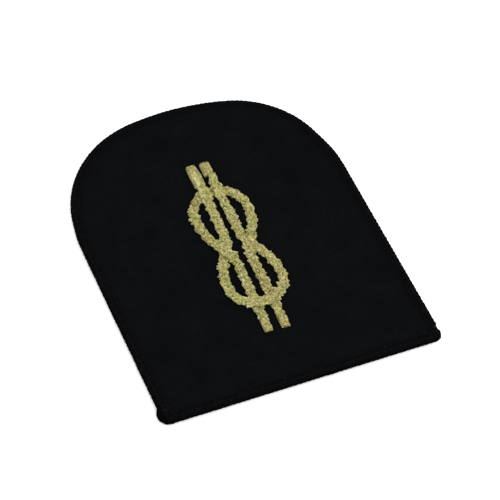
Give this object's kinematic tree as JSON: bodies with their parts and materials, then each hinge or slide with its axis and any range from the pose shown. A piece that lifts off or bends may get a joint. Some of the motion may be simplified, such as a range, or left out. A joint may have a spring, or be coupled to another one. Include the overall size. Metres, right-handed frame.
{
  "type": "embroidered cloth rank badge",
  "caption": "Arched black cloth rank badge with a thread-bound edge and an upright reef knot worked in gold metal rope.",
  "frame": {"origin": "under the middle of the badge's outline, on the surface that its bound edge lies on", "axes": "+Z out of the badge's face, +Y towards the crown of the arch, +X to the right when looking at the face"},
  "size_m": [0.0692, 0.0836, 0.0028],
  "materials": {
    "ground_cloth": "matt near-black milled wool cloth",
    "border_thread": "black twisted binding thread with a faint lustre",
    "gold_thread": "pale gold metal thread, satin, laid as twisted rope"
  },
  "bodies": {
    "root": {"ground_cloth": "ground_cloth", "edge_border": "border_thread", "upper_loop_rope": "gold_thread", "lower_loop_rope": "gold_thread", "whipping_top_left": "gold_thread", "whipping_top_right": "gold_thread", "whipping_bottom_left": "gold_thread", "whipping_bottom_right": "gold_thread"}
  },
  "joints": []
}
